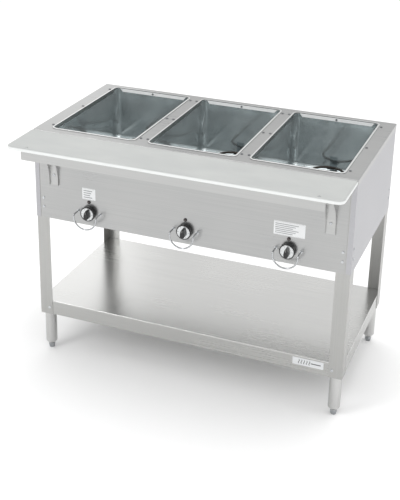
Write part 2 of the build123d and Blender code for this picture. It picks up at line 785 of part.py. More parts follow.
# ---------------------------------------------------------------- electrical supply inside the body
def terminal_block():
    w, d, h = block_size
    x, y, z = block_x, gland_y, pan_z + skin
    body = block(x - w / 2, x + w / 2, y - d / 2, y + d / 2, z, z + h)
    for i in (-1, 0, 1):
        body -= rod_z(x + i * pole_pitch, y, z + h - pole_depth, z + h + over, pole_radius)
    return body


def cord_gland():
    """Bushing for the supply cord, through the bottom pan."""
    z = pan_z
    gland = rod_z(gland_x, gland_y, z - gland_drop, z, gland_radius)
    gland += rod_z(gland_x, gland_y, z, z + gland_rise, gland_neck)
    collar = extrude(RegularPolygon(gland_radius, 6), gland_nut)
    gland += Pos(gland_x, gland_y, z + skin) * collar
    return gland - rod_z(gland_x, gland_y, z - gland_drop - over, z + gland_rise + over, gland_bore)


def wiring_harness():
    """Trunk along the bottom pan, with a drop to each switch and two leads up to each element."""
    w = block_size[0]
    trunk_y = frame_front + switch_deep + trunk_back
    trunk_z = pan_z + skin + wire_radius + wire_gap
    feed_x = block_x - w / 2 - wire_radius - 4 * wire_gap
    trunk_end = max(feed_x, well_centres[-1])
    run = rod_x(trunk_y, trunk_z, well_centres[0], trunk_end, wire_radius)
    run += Pos(trunk_end, trunk_y, trunk_z) * Sphere(wire_radius)
    run += Pos(well_centres[0], trunk_y, trunk_z) * Sphere(wire_radius)
    run += rod_y(feed_x, trunk_z, trunk_y, gland_y, wire_radius)
    run += rod_x(gland_y, trunk_z, feed_x, block_x - w / 2, wire_radius)
    lead_y = well_y - liner_half_y - liner_gauge - 0.75 * element_tail
    drop_z = knob_z + switch_tall / 2 - blade_spread
    for cx in well_centres:
        run += rod_z(cx, trunk_y, trunk_z, drop_z, wire_radius)
        run += Pos(cx, trunk_y, drop_z) * Sphere(wire_radius)
        run += rod_y(cx, drop_z, frame_front + switch_deep, trunk_y, lead_radius)
        bus_z = (knob_z + switch_tall / 2 + knob_z + pilot_rise - pilot_barrel) / 2
        run += rod_z(cx, trunk_y, drop_z, bus_z, lead_radius)
        run += Pos(cx, trunk_y, bus_z) * Sphere(lead_radius)
        run += rod_y(cx, bus_z, lead_y, trunk_y, lead_radius)
        run += rod_x(lead_y, bus_z, cx - element_half_width, cx + element_half_width, lead_radius)
        for sx in (-1, 1):
            x = cx + sx * element_half_width
            run += Pos(x, lead_y, bus_z) * Sphere(lead_radius)
            run += rod_z(x, lead_y, bus_z, liner_floor + element_rise - element_radius, lead_radius)
    return run


# ---------------------------------------------------------------- labels
def label_on_panel(cx, size):
    w, h = size
    z0 = knob_z + pilot_rise + label_gap
    label = block(cx - w / 2, cx + w / 2, panel_front - label_gauge, panel_front, z0, z0 + h)
    return fillet(label.edges().filter_by(Axis.Y), label_corner)


def shelf_badge():
    w, h = badge_size
    cx = half - badge_inset
    z1 = shelf_height - badge_drop
    badge = block(cx - w / 2, cx + w / 2, inner_front - badge_gauge, inner_front, z1 - h, z1)
    return fillet(badge.edges().filter_by(Axis.Y), label_corner)


# ---------------------------------------------------------------- fasteners
def body_screws():
    spots = panel_screw_spots() + bracket_screw_spots()
    return [facing(*s) * screw_out(head_radius, head_height, shank_radius, shank_length) for s in spots]


def top_screws():
    screw = screw_out(head_radius, low_head_height, shank_radius, shank_length)
    small = screw_out(tab_head_radius, low_head_height, shank_radius, shank_length)
    tab_face = well_y + well_length / 2
    return ([facing(x, y, top_flat, "up") * screw for x, y in top_screw_spots()]
            + [facing(cx, tab_face, tab_screw_z, "front") * small for cx in well_centres])


def shelf_bolts():
    return [facing(*s) * screw_out(bolt_head_radius, head_height, bolt_radius, frame_gauge + skin + bolt_tail)
            for s in shelf_bolt_spots()]


# ---------------------------------------------------------------- write every piece
save("top_sheet", top_sheet())
save("front_panel", front_panel())
save("back_panel", back_panel())
save("bottom_pan", bottom_pan())
save("undershelf", undershelf())
save("cross_rails", *[cross_rail(x + well_pitch / 2) for x in well_centres[:-1]])
save("carving_board", carving_board())
save("board_channel", board_channel())
save("board_pins", *board_pins())
for side, sx in (("left", -1), ("right", 1)):
    save(f"end_panel_{side}", end_panel(sx))
    save(f"board_bracket_{side}", board_bracket(sx))
    save(f"upright_front_{side}", upright(sx, True))
    save(f"upright_rear_{side}", upright(sx, False))
for place, (x, y) in leg_spots.items():
    save(f"leg_{place}", leg(x, y))
    save(f"foot_{place}", foot(x, y))
save("leg_sockets", *[leg_socket(x, y) for x, y in leg_spots.values()])
save("foot_inserts", *[foot_insert(x, y) for x, y in leg_spots.values()])
for side, cx in zip(sides, well_centres):
    save(f"well_liner_{side}", well_liner(cx))
    save(f"heating_element_{side}", heating_element(cx))
    save(f"infinite_switch_{side}", infinite_switch(cx))
    save(f"switch_shaft_{side}", switch_shaft(cx))
    save(f"knob_{side}", knob(cx))
    save(f"knob_dial_{side}", knob_dial(cx))
    save(f"knob_guard_{side}", knob_guard(cx))
save("element_brackets", *[piece for cx in well_centres for piece in element_brackets(cx)])
save("pilot_lights", *[pilot_light(cx) for cx in well_centres])
save("guard_nuts", *guard_nuts())
save("insulation", *insulation())
save("terminal_block", terminal_block())
save("cord_gland", cord_gland())
save("wiring_harness", wiring_harness())
save("body_screws", *body_screws())
save("top_screws", *top_screws())
save("shelf_bolts", *shelf_bolts())
save("rating_labels", label_on_panel(well_centres[0], notice_size),
     label_on_panel(well_centres[-1], plate_size))
save("shelf_badge", shelf_badge())
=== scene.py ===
"""Electric steam table unit: finishes, small fittings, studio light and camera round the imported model."""
import json
import math

import bpy
from mathutils import Euler, Matrix, Vector


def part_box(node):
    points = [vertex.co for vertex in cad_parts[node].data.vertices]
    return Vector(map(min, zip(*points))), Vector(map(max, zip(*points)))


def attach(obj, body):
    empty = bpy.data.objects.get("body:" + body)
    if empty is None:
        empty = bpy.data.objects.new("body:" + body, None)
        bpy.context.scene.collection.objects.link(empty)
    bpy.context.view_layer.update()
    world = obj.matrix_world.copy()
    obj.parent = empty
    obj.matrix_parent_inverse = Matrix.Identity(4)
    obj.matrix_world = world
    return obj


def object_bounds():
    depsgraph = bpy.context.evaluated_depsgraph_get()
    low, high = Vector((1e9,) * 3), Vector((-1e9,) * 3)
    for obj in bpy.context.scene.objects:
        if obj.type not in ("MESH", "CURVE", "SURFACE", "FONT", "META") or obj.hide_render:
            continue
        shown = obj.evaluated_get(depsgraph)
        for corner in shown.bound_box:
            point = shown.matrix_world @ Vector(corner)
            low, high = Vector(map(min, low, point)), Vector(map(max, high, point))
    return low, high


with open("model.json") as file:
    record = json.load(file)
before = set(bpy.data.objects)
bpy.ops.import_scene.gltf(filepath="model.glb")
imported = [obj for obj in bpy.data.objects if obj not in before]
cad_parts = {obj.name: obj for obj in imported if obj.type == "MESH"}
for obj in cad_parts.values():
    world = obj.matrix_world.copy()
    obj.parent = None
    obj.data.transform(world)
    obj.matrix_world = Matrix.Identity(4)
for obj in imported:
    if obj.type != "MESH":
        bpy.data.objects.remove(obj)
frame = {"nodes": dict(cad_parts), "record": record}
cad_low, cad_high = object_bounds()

MM = 0.001
SIDES = ("left", "middle", "right")
CORNERS = ("front_left", "front_right", "rear_left", "rear_right")


# ---------------------------------------------------------------- small helpers for materials
def linear(hex_colour):
    """An sRGB hex colour as linear RGBA."""
    parts = [int(hex_colour[i:i + 2], 16) / 255 for i in (1, 3, 5)]
    return tuple(c / 12.92 if c <= 0.04045 else ((c + 0.055) / 1.055) ** 2.4 for c in parts) + (1.0,)


def add_node(tree, kind, inputs=None, **settings):
    """Adds a node. Each input is a constant, or the output socket that feeds it."""
    node = tree.nodes.new("ShaderNode" + kind)
    for name, value in settings.items():
        setattr(node, name, value)
    for name, value in (inputs or {}).items():
        if isinstance(value, bpy.types.NodeSocket):
            tree.links.new(value, node.inputs[name])
        else:
            node.inputs[name].default_value = value
    return node


def new_material(name):
    """An empty material and its node tree."""
    material = bpy.data.materials.new(name)
    material.use_nodes = True
    material.node_tree.nodes.clear()
    return material, material.node_tree


def surface(tree, inputs):
    """The one shader of a material, joined to its output."""
    shader = add_node(tree, "BsdfPrincipled", inputs)
    add_node(tree, "OutputMaterial", {"Surface": shader.outputs["BSDF"]})


def stretched(tree, spacing):
    """Object coordinates with one unit per grain spacing, given in millimetres along X, Y and Z."""
    place = add_node(tree, "TexCoord").outputs["Object"]
    scale = tuple(1 / (s * MM) for s in spacing)
    return add_node(tree, "Mapping", {"Vector": place, "Scale": scale}).outputs["Vector"]


def noise(tree, spacing, detail=3.0, rough=0.55):
    """Noise whose blobs are about the given size in millimetres along X, Y and Z."""
    vector = stretched(tree, spacing)
    made = add_node(tree, "TexNoise", {"Vector": vector, "Scale": 1.0, "Detail": detail, "Roughness": rough})
    return made.outputs["Fac"]


def spread(tree, value, low, high, start=0.3, end=0.7):
    """Maps a noise value to the range low..high."""
    made = add_node(tree, "MapRange", {"Value": value, "From Min": start, "From Max": end,
                                       "To Min": low, "To Max": high})
    return made.outputs["Result"]


def between(tree, factor, dark, light):
    """A colour between two hex colours."""
    made = add_node(tree, "Mix", {"Factor": factor, "A": linear(dark), "B": linear(light)}, data_type="RGBA")
    return made.outputs["Result"]


def bump(tree, height, strength, distance_mm, under=None):
    """Relief from a height value, laid over another relief if one is given."""
    inputs = {"Height": height, "Strength": strength, "Distance": distance_mm * MM}
    if under is not None:
        inputs["Normal"] = under
    return add_node(tree, "Bump", inputs).outputs["Normal"]


# ---------------------------------------------------------------- materials
ALONG_X, ALONG_Y, ALONG_Z = (420, 3.5, 3.5), (3.5, 420, 3.5), (3.5, 3.5, 420)   # brush lines, in millimetres


def brushed_look(tree, dark, light, grain, gloss):
    """What every brushed sheet shares: its colour, roughness and relief."""
    lines = noise(tree, grain, 2.0, 0.5)
    clouds = noise(tree, (320, 320, 320), 2.0)
    shade = add_node(tree, "Math", {0: spread(tree, clouds, 0.3, 0.65), 1: spread(tree, lines, -0.2, 0.2)},
                     operation="ADD").outputs["Value"]
    rough = add_node(tree, "Math", {0: spread(tree, clouds, gloss - 0.03, gloss + 0.04),
                                    1: spread(tree, lines, -0.02, 0.02)}, operation="ADD").outputs["Value"]
    return between(tree, shade, dark, light), rough, bump(tree, noise(tree, grain, 0.0), 0.01, 0.05)


def brushed_steel(name, dark, light, grain, gloss):
    """304 stainless sheet with a belt-brushed finish: fine parallel lines that smear reflections along one
    way, and wide faint clouds where hands and cloths have passed.  The real lines are 0.1 mm apart, so they
    are drawn a few millimetres wide to show."""
    material, tree = new_material(name)
    colour, rough, relief = brushed_look(tree, dark, light, grain, gloss)
    surface(tree, {"Base Color": colour, "Metallic": 1.0, "Roughness": rough, "Normal": relief})
    return material


SHELF_GAUGE = 1.6           # depth of the shelf's bent edge, millimetres
LIP_FADE = 4.0              # height over which the deck's colour gives way to the lip's painted shade


def shelf_steel():
    """The undershelf: the same brushed sheet with a lighter deck, and its lip painted darker, painted shade."""
    material, tree = new_material("stainless_304_shelf_brushed")
    deck, rough, relief = brushed_look(tree, "#C9C9C8", "#D7D7D5", ALONG_X, 0.25)
    place = add_node(tree, "TexCoord").outputs["Object"]
    height = add_node(tree, "SeparateXYZ", {"Vector": place}).outputs["Z"]
    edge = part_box("undershelf")[1].z - SHELF_GAUGE * MM
    # The lip below the deck is painted darker: painted shade.
    lip_shade = spread(tree, height, 1.0, 0.0, edge - LIP_FADE * MM, edge)
    dull = between(tree, noise(tree, ALONG_X, 3.0), "#A6A6A4", "#B8B8B6")
    colour = add_node(tree, "Mix", {"Factor": lip_shade, "A": deck, "B": dull}, data_type="RGBA")
    surface(tree, {"Base Color": colour.outputs["Result"], "Metallic": 1.0,
                   "Roughness": rough, "Normal": relief})
    return material


RIM_RISE = 2.0              # rims above the flat of the top, millimetres
RIM_HIGHLIGHT = (1.0, 1.5)     # heights above the flat where the painted highlight on a rim begins and is full
CREASE = (0.04, 0.1)        # heights where the painted shade in the crease outside a rim starts and is full
# Where the rear tabs' painted highlight lies:
TAB_FROM_FLANGE = 20.0      # tabs' front limit, forward of the back of the liners' flanges
TAB_BAND = 8.0              # front to back, takes in the tabs' thickness
TAB_UNDER = 2.5             # tabs start this far below the rims
SIDE_KEPT = 30.0            # the band stops this far inside the unit's sides


def pressed_top():
    """The pressed stainless top: brushed along its length, its flat painted a darker grey than the panel
    steel, painted shade; its raised rims painted bright, a painted highlight, with painted shade in the
    crease outside them; and the rear turned-down tabs painted near white and less metallic, a painted
    highlight, which shows as a light band at the back of each well."""
    material, tree = new_material("stainless_304_top_brushed")
    # The flat is painted a darker grey than the panel steel: painted shade standing in for its dimmer
    # reflection.
    colour, rough, relief = brushed_look(tree, "#A2A3A3", "#B4B4B3", ALONG_X, 0.30)
    place = add_node(tree, "TexCoord").outputs["Object"]
    at = add_node(tree, "SeparateXYZ", {"Vector": place}).outputs
    tab_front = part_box("well_liner_left")[1].y - TAB_FROM_FLANGE * MM
    tab_back, tab_top = tab_front + TAB_BAND * MM, cad_high.z - TAB_UNDER * MM
    side = cad_high.x - SIDE_KEPT * MM
    inside = add_node(tree, "Math", {0: at["Y"], 1: tab_front}, operation="GREATER_THAN").outputs["Value"]
    before = add_node(tree, "Math", {0: at["Y"], 1: tab_back}, operation="LESS_THAN").outputs["Value"]
    below = add_node(tree, "Math", {0: at["Z"], 1: tab_top}, operation="LESS_THAN").outputs["Value"]
    aside = add_node(tree, "Math", {0: at["X"]}, operation="ABSOLUTE").outputs["Value"]
    within = add_node(tree, "Math", {0: aside, 1: side}, operation="LESS_THAN").outputs["Value"]
    back = add_node(tree, "Math", {0: inside, 1: before}, operation="MULTIPLY").outputs["Value"]
    band = add_node(tree, "Math", {0: back, 1: within}, operation="MULTIPLY").outputs["Value"]
    tab = add_node(tree, "Math", {0: band, 1: below}, operation="MULTIPLY").outputs["Value"]
    # The rear tabs are painted near white and made less metallic: a painted highlight that gives the light
    # band at the back of each well; milky is the mottling of that highlight.
    milky = noise(tree, (40, 8, 8), 3.0)
    tab_highlight = between(tree, milky, "#F0F1F1", "#FFFFFF")
    flat = cad_high.z - RIM_RISE * MM
    rim_from, rim_to = (flat + rise * MM for rise in RIM_HIGHLIGHT)
    crease_from, crease_to = (flat + rise * MM for rise in CREASE)
    # Painted highlight on the rims (#DADBDA below) and painted shade in the crease outside them (#5A5B5B).
    rim = spread(tree, at["Z"], 0.0, 1.0, rim_from, rim_to)
    crease = add_node(tree, "Math", {0: spread(tree, at["Z"], 0.0, 1.0, crease_from, crease_to),
                                     1: spread(tree, at["Z"], 1.0, 0.0, rim_from, rim_to)},
                      operation="MULTIPLY").outputs["Value"]
    rim_highlighted = add_node(tree, "Mix", {"Factor": rim, "A": colour, "B": linear("#DADBDA")}, data_type="RGBA")
    folded = add_node(tree, "Mix", {"Factor": crease, "A": rim_highlighted.outputs["Result"],
                                    "B": linear("#5A5B5B")}, data_type="RGBA").outputs["Result"]
    tab_highlighted = add_node(tree, "Mix", {"Factor": tab, "A": folded, "B": tab_highlight}, data_type="RGBA")
    metal = add_node(tree, "MapRange", {"Value": tab, "To Min": 1.0, "To Max": 0.1}).outputs["Result"]
    surface(tree, {"Base Color": tab_highlighted.outputs["Result"], "Metallic": metal,
                   "Roughness": rough, "Normal": relief})
    return material


def polished_wire():
    """Drawn stainless wire, bright-polished: clean narrow highlights with faint lines along the drawing."""
    material, tree = new_material("stainless_wire_polished")
    marks = noise(tree, (2.0, 30.0, 2.0), 2.0)
    surface(tree, {"Base Color": between(tree, marks, "#A6A8AA", "#C6C8CA"), "Metallic": 1.0,
                   "Roughness": spread(tree, marks, 0.08, 0.14)})
    return material


def galvanised(name, dark, light, spangle_mm):
    """Hot-dip galvanised sheet: zinc spangles a few millimetres across, each a little lighter or darker and
    duller than the next, under a milky bloom."""
    material, tree = new_material(name)
    cell = add_node(tree, "TexVoronoi", {"Vector": stretched(tree, (spangle_mm,) * 3), "Scale": 1.0,
                                         "Randomness": 1.0})
    tint = add_node(tree, "SeparateColor", {"Color": cell.outputs["Color"]}).outputs["Red"]
    bloom = noise(tree, (90, 90, 60), 3.0)
    both = add_node(tree, "Math", {0: spread(tree, tint, 0.0, 0.2, 0.0, 1.0),
                                   1: spread(tree, bloom, 0.1, 0.8)}, operation="ADD").outputs["Value"]
    surface(tree, {"Base Color": between(tree, both, dark, light), "Metallic": 0.75,
                   "Roughness": spread(tree, tint, 0.10, 0.15, 0.0, 1.0),
                   "Normal": bump(tree, noise(tree, (90, 90, 90), 1.0), 0.05, 0.6)})
    return material


def element_sheath():
    """Nickel-alloy heater sheath, oxidised by use: dark brown-grey with paler patches."""
    material, tree = new_material("nickel_alloy_sheath_oxidised")
    patches = noise(tree, (14, 30, 14), 4.0)
    surface(tree, {"Base Color": between(tree, spread(tree, patches, 0, 1), "#26221F", "#4A443F"),
                   "Metallic": 0.7, "Roughness": spread(tree, patches, 0.38, 0.6),
                   "Normal": bump(tree, noise(tree, (1.5, 1.5, 1.5)), 0.2, 0.1)})
    return material


def zinc_plated(name, dark, light, gloss):
    """Bright zinc-plated steel: a cool light grey with the soft, slightly cloudy gloss of plating."""
    material, tree = new_material(name)
    cloud = noise(tree, (9, 9, 9), 3.0)
    surface(tree, {"Base Color": between(tree, spread(tree, cloud, 0, 1), dark, light), "Metallic": 1.0,
                   "Roughness": spread(tree, cloud, gloss, gloss + 0.12),
                   "Normal": bump(tree, noise(tree, (2.5, 2.5, 2.5)), 0.15, 0.1)})
    return material


def spun_aluminium():
    """Dial plate of bright aluminium, spun on a lathe: fine rings round each shaft give a fan of light."""
    material, tree = new_material("aluminium_dial_spun")
    grain = noise(tree, (3.0, 8.0, 0.7), 3.0)
    surface(tree, {"Base Color": between(tree, grain, "#BCBEBF", "#DADCDC"), "Metallic": 1.0,
                   "Roughness": spread(tree, grain, 0.16, 0.28),
                   "Normal": bump(tree, grain, 0.12, 0.08)})
    return material


def moulded_plastic(name, dark, light, gloss, grain_mm, depth):
    """Injection- or compression-moulded plastic: an even colour broken by a fine spark-eroded grain, with
    slow changes of gloss where the material flowed."""
    material, tree = new_material(name)
    flow = noise(tree, (22, 22, 22), 2.0)
    grain = noise(tree, (grain_mm,) * 3, 2.0)
    surface(tree, {"Base Color": between(tree, spread(tree, flow, 0, 1), dark, light),
                   "Roughness": spread(tree, flow, gloss - 0.04, gloss + 0.06), "IOR": 1.5,
                   "Normal": bump(tree, grain, 0.25, depth)})
    return material


EDGE_HIGHLIGHT_FROM, EDGE_HIGHLIGHT_TO = 1.0, 4.5   # below the board's face, the painted highlight on its edges begins and is full


def cutting_board():
    """Extruded white polyethylene cutting board: a waxy, slightly see-through white, a fine pebbled face and
    shallow knife scores that catch the light. Its face is painted grey, painted shade, and its edges below
    the face are painted near white, a painted highlight."""
    material, tree = new_material("polyethylene_board_extruded")
    haze = noise(tree, (160, 60, 60), 3.0)
    pebble = noise(tree, (2.2, 2.2, 2.2), 2.0)
    scores = noise(tree, (70, 2.4, 30), 4.0, 0.75)
    cut = spread(tree, scores, 0.0, 1.0, 0.62, 0.70)
    grained = bump(tree, pebble, 0.18, 0.25)
    # The face is painted grey, painted shade on a white board; the edges below it are painted near white
    # (#E0E2E1), a painted highlight.
    face = between(tree, spread(tree, haze, 0, 1), "#A4A6A5", "#ADAFAD")
    where = add_node(tree, "SeparateXYZ", {"Vector": add_node(tree, "TexCoord").outputs["Object"]}).outputs
    face_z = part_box("carving_board")[1].z
    edge_highlight = spread(tree, where["Z"], 1.0, 0.0, face_z - EDGE_HIGHLIGHT_TO * MM, face_z - EDGE_HIGHLIGHT_FROM * MM)
    mixed = add_node(tree, "Mix", {"Factor": edge_highlight, "A": face, "B": linear("#E0E2E1")}, data_type="RGBA")
    surface(tree, {"Base Color": mixed.outputs["Result"],
                   "Roughness": spread(tree, haze, 0.42, 0.52), "IOR": 1.51,
                   "Subsurface Weight": 0.08, "Subsurface Radius": (0.004, 0.004, 0.004),
                   "Normal": bump(tree, cut, 0.10, 0.2, grained)})
    return material


def glass_wool():
    """Yellow glass-fibre batt: matted fibres, deep and matt, painted darker where its relief is lowest:
    painted shade in the hollows.
    """
    material, tree = new_material("glass_wool_batt")
    mat = noise(tree, (18, 6, 18), 6.0, 0.7)
    surface(tree, {"Base Color": between(tree, spread(tree, mat, 0, 1), "#B99B4A", "#E6D08A"),
                   "Roughness": 0.95, "Normal": bump(tree, mat, 0.8, 3.0)})
    return material


def rubbery_cover(name, dark, light):
    """Extruded silicone wire covering: matt, faintly lined along its length and dusty."""
    material, tree = new_material(name)
    dust = noise(tree, (12, 12, 12), 3.0)
    surface(tree, {"Base Color": between(tree, spread(tree, dust, 0, 1), dark, light),
                   "Roughness": spread(tree, dust, 0.5, 0.7), "IOR": 1.43,
                   "Normal": bump(tree, noise(tree, (1.2, 40, 1.2)), 0.2, 0.1)})
    return material


def printed_film():
    """Printed polyester label: white, satin, with hair-fine speckle from the print."""
    material, tree = new_material("polyester_label_printed")
    speck = noise(tree, (1.5, 1.5, 1.5), 2.0)
    surface(tree, {"Base Color": between(tree, speck, "#D9DBDC", "#EDEEEE"),
                   "Roughness": spread(tree, speck, 0.35, 0.5), "IOR": 1.57})
    return material


def ink(name, dark, light, gloss):
    """Screen-printed ink: a dense colour with pinholes and slightly uneven gloss where the film is thin."""
    material, tree = new_material(name)
    film = noise(tree, (2.5, 2.5, 2.5), 3.0)
    surface(tree, {"Base Color": between(tree, spread(tree, film, 0, 1), dark, light),
                   "Roughness": spread(tree, film, gloss, gloss + 0.15), "IOR": 1.5})
    return material


def smoked_lens():
    """Polycarbonate pilot lens, smoked amber: almost black unlit, with a wet-looking highlight."""
    material, tree = new_material("polycarbonate_lens_smoked")
    depth = noise(tree, (5, 5, 5), 2.0)
    surface(tree, {"Base Color": between(tree, depth, "#1A0F0A", "#33190E"),
                   "Roughness": spread(tree, depth, 0.06, 0.14), "IOR": 1.58, "Coat Weight": 0.4})
    return material


def badge_foil():
    """Satin aluminium foil badge: pale, brushed across, softer than the steel it is stuck to."""
    material, tree = new_material("aluminium_foil_satin")
    lines = noise(tree, (40, 4, 1.6), 4.0, 0.7)
    surface(tree, {"Base Color": between(tree, spread(tree, lines, 0, 1), "#CDCFD1", "#E4E5E6"),
                   "Metallic": 0.7, "Roughness": spread(tree, lines, 0.36, 0.5),
                   "Normal": bump(tree, lines, 0.1, 0.1)})
    return material


FINISHES = {
    "brushed_stainless": pressed_top(),
    "folded_stainless": brushed_steel("stainless_304_panel_brushed", "#B0B1B0", "#BEBEBD", ALONG_X, 0.36),
    "tube_stainless": brushed_steel("stainless_304_tube_polished", "#B6B6B5", "#CBCBCA", (6, 6, 120), 0.22),
    "polished_wire": polished_wire(),
    "fastener_stainless": zinc_plated("stainless_a2_cold_headed", "#B4B7BA", "#CFD1D3", 0.24),
    "galvanised_liner": galvanised("steel_galvanised_spangled", "#AFB6B7", "#CAD0D1", 7.0),
    "galvanised_clip": galvanised("steel_galvanised_clip", "#7D878A", "#A3ACAE", 4.0),
    "element_sheath": element_sheath(),
    "plated_steel": zinc_plated("steel_zinc_plated", "#AEB2B5", "#C9CCCE", 0.26),
    "welded_steel": zinc_plated("steel_welded_galvanised", "#9DA1A4", "#B9BCBF", 0.4),
    "foot_plated": zinc_plated("steel_foot_nickel_plated", "#8E9194", "#B2B5B7", 0.26),
    "bright_dial": spun_aluminium(),
    "black_phenolic": moulded_plastic("phenolic_black_moulded", "#0E0E0F", "#1B1B1C", 0.30, 0.9, 0.05),
    "pilot_black": moulded_plastic("nylon_black_moulded", "#101011", "#1D1D1E", 0.34, 0.8, 0.05),
    "switch_housing": moulded_plastic("phenolic_brown_moulded", "#2A211B", "#3B2F27", 0.45, 1.2, 0.1),
    "white_polyethylene": cutting_board(),
    "glass_fibre": glass_wool(),
    "wire_covering": rubbery_cover("silicone_wire_extruded", "#1C1C1E", "#2B2B2D"),
    "terminal_moulding": moulded_plastic("melamine_cream_moulded", "#C9BE9F", "#DDD3B8", 0.4, 1.0, 0.08),
    "gland_nylon": moulded_plastic("nylon_grey_moulded", "#2E2F31", "#3F4042", 0.42, 1.0, 0.08),
    "label_film": printed_film(),
    "badge_foil": badge_foil(),
}
# The end panels are a darker copy of the panel steel: painted shade.
END_STEEL = brushed_steel("stainless_304_end_brushed", "#A8A8AB", "#B6B6B9", ALONG_Y, 0.38)
SHELF_STEEL = shelf_steel()
# The posts are a darker copy of the panel steel: painted shade.
POST_STEEL = brushed_steel("stainless_304_post_brushed", "#A4A4A2", "#B5B5B3", ALONG_Z, 0.34)
SCREW_STEEL = zinc_plated("stainless_screw_dulled", "#6E7072", "#8A8C8E", 0.38)

DIAL_INK = ink("dial_ink_black", "#161616", "#242424", 0.4)
LABEL_INK = ink("label_ink_grey", "#8C8E90", "#A3A5A7", 0.45)
BADGE_INK = ink("badge_ink_charcoal", "#2A2B2D", "#3A3B3D", 0.4)
PAINT_GREY = ink("pointer_paint_grey", "#8E8E8C", "#A9A9A6", 0.5)
PILOT_LENS = smoked_lens()

BY_NODE = {"end_panel_left": END_STEEL, "end_panel_right": END_STEEL, "undershelf": SHELF_STEEL,
           "top_screws": SCREW_STEEL}
for spot in CORNERS:
    BY_NODE["upright_" + spot] = POST_STEEL

slot_of = {p["node"]: p["material_slot"] for p in frame["record"]["subparts"]}
for name, node in frame["nodes"].items():
    finish = BY_NODE.get(name, FINISHES[slot_of[name]])
    node.data.materials.clear()
    node.data.materials.append(finish)


# ---------------------------------------------------------------- tools for new pieces
TOUCH = 0.1 * MM            # edges this near to a plane lie on it


def clear_selection():
    """Deselects every object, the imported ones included."""
    bpy.ops.object.select_all(action="DESELECT")


def settle(piece, name):
    """Puts a piece's place into its mesh and names both."""
    clear_selection()
    piece.select_set(True)
    bpy.context.view_layer.objects.active = piece
    bpy.ops.object.transform_apply(location=True, rotation=True, scale=True)
    piece.name = piece.data.name = name
    return piece


def edit(piece, action):
    """Runs an action in edit mode with everything selected."""
    clear_selection()
    piece.select_set(True)
    bpy.context.view_layer.objects.active = piece
    bpy.ops.object.mode_set(mode="EDIT")
    bpy.ops.mesh.select_all(action="SELECT")
    action()
    bpy.ops.object.mode_set(mode="OBJECT")


def pick(piece, kind, test):
    """Selects the edges or vertices that pass a test, and stays in edit mode.

    An edge is tested on its middle and its run, a vertex on its place.
    """
    clear_selection()
    piece.select_set(True)
    bpy.context.view_layer.objects.active = piece
    bpy.ops.object.mode_set(mode="EDIT")
    bpy.ops.mesh.select_mode(type=kind)
    bpy.ops.mesh.select_all(action="DESELECT")
    bpy.ops.object.mode_set(mode="OBJECT")
    data = piece.data
    if kind == "VERT":
        for corner in data.vertices:
            corner.select = test(corner.co)
    else:
        for edge in data.edges:
            first, last = (data.vertices[i].co for i in edge.vertices)
            edge.select = test((first + last) / 2, last - first)
    bpy.ops.object.mode_set(mode="EDIT")


def joined(pieces, name):
    """Joins pieces into the first one."""
    clear_selection()
    for piece in pieces:
        piece.select_set(True)
    bpy.context.view_layer.objects.active = pieces[0]
    if len(pieces) > 1:
        bpy.ops.object.join()
    return settle(bpy.context.object, name)


def copy_at(piece, matrix):
    """A copy with its own mesh, moved by a matrix."""
    twin = piece.copy()
    twin.data = piece.data.copy()
    twin.data.transform(matrix)
    bpy.context.scene.collection.objects.link(twin)
    return twin


def finished(piece, finish, body, smooth=35):
    """Gives a piece its finish and the body it rides on."""
    clear_selection()
    piece.select_set(True)
    bpy.context.view_layer.objects.active = piece
    bpy.ops.object.shade_smooth_by_angle(angle=math.radians(smooth))
    piece.data.materials.clear()
    piece.data.materials.append(finish)
    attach(piece, body)
    return piece


def plate_on_front(width, height, thickness, middle, edge_mm):
    """A thin rounded plate that faces the front, its back at the middle point's Y."""
    clear_selection()
    place = (middle[0], middle[1] - thickness / 2, middle[2])
    bpy.ops.mesh.primitive_cube_add(size=1, location=place, scale=(width, thickness, height))
    plate = settle(bpy.context.object, "plate")
    pick(plate, "EDGE", lambda at, along: abs(along.y) > 0.5 * thickness)
    bpy.ops.mesh.bevel(offset=edge_mm * MM, segments=4)
    bpy.ops.object.mode_set(mode="OBJECT")
    return plate


def turned_button(middle, radius, depth, round_mm):
    """A short round button that faces the front, its front edge rounded over."""
    clear_selection()
    place = (middle[0], middle[1] - depth / 2, middle[2])
    bpy.ops.mesh.primitive_cylinder_add(vertices=40, radius=radius, depth=depth, location=place,
                                        rotation=(math.pi / 2, 0, 0))
    button = settle(bpy.context.object, "button")
    face = middle[1] - depth
    pick(button, "EDGE", lambda at, along: abs(at.y - face) < TOUCH and abs(along.y) < TOUCH)
    bpy.ops.mesh.bevel(offset=round_mm * MM, segments=5)
    bpy.ops.object.mode_set(mode="OBJECT")
    return button


# ---------------------------------------------------------------- dials
DIAL_STEPS = 10             # spaces between a dial's ticks
DIAL_SWEEP = 300            # degrees from the first tick to the last
NUMBER_EVERY = 2            # ticks
TICK_RADIUS = 20.6          # millimetres, as all sizes below
TICK_SIZE = (0.55, 0.16, 2.4)       # width, thickness, length
TICK_CORNER = 0.2
NUMBER_RADIUS = 17.2
NUMBER_SIZE = 4.2
ROLLED_RADIUS, ROLLED_WIRE, ROLLED_FLATNESS = 22.2, 0.6, 0.6
POINTER_SIZE = (1.1, 9.0, 0.25)     # width, length, thickness
POINTER_OUT = 8.5           # its middle above the knob's axis
POINTER_CORNER = 0.4
POINTER_SUNK = 0.05         # its back in the grip
LENS_RADIUS, LENS_PROUD, LENS_ROUND = 4.3, 1.1, 0.9


